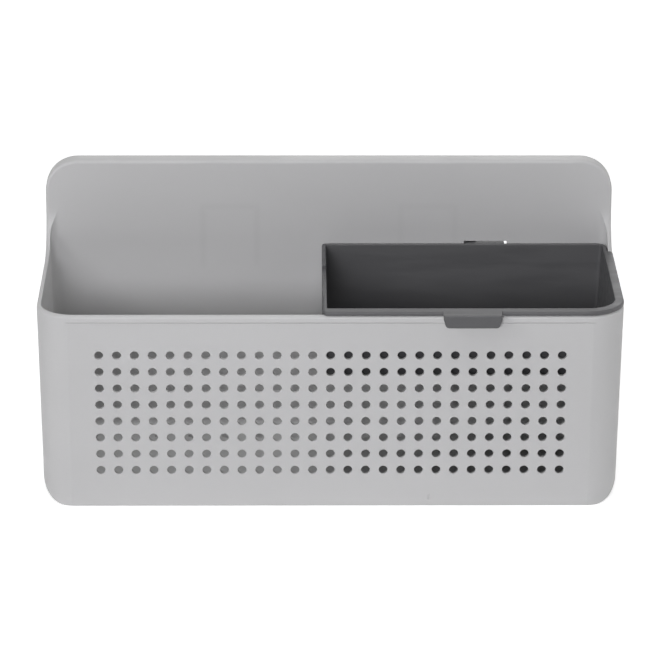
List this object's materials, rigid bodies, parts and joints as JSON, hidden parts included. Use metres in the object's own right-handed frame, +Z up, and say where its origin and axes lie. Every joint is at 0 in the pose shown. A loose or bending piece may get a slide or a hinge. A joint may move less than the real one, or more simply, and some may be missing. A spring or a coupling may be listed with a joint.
{
  "type": "kitchen sink caddy",
  "caption": "Light grey perforated wall caddy with a tall back panel, a dark lift-up tray hung on its rim, and stick-on wall hooks behind.",
  "frame": {"origin": "on the surface that the basket stands on, in the middle of the caddy's width and depth", "axes": "+X to the right along the width, +Y to the back towards the wall, +Z up; the perforated front faces -Y"},
  "size_m": [0.2648, 0.1064, 0.1352],
  "materials": {
    "basket_plastic": "satin",
    "tray_plastic": "satin",
    "hook_plastic": "satin",
    "pad_foam": "matte"
  },
  "bodies": {
    "basket": {"basket": "basket_plastic"},
    "tray": {"tray": "tray_plastic"},
    "wall_hook_left": {"wall_hook_left": "hook_plastic", "adhesive_pad_left": "pad_foam"},
    "wall_hook_right": {"wall_hook_right": "hook_plastic", "adhesive_pad_right": "pad_foam"}
  },
  "joints": [
    {"name": "tray_tilt", "type": "hinge", "parent": "basket", "child": "tray", "pos_m": [0.0732, 0.0448, 0.0928], "axis": [-1, 0, 0], "range_deg": [0, 35]},
    {"name": "wall_hook_left_slide", "type": "slide", "parent": "basket", "child": "wall_hook_left", "axis": [0, 0, -1], "range_m": [0, 0.028]},
    {"name": "wall_hook_right_slide", "type": "slide", "parent": "basket", "child": "wall_hook_right", "axis": [0, 0, -1], "range_m": [0, 0.028]}
  ]
}
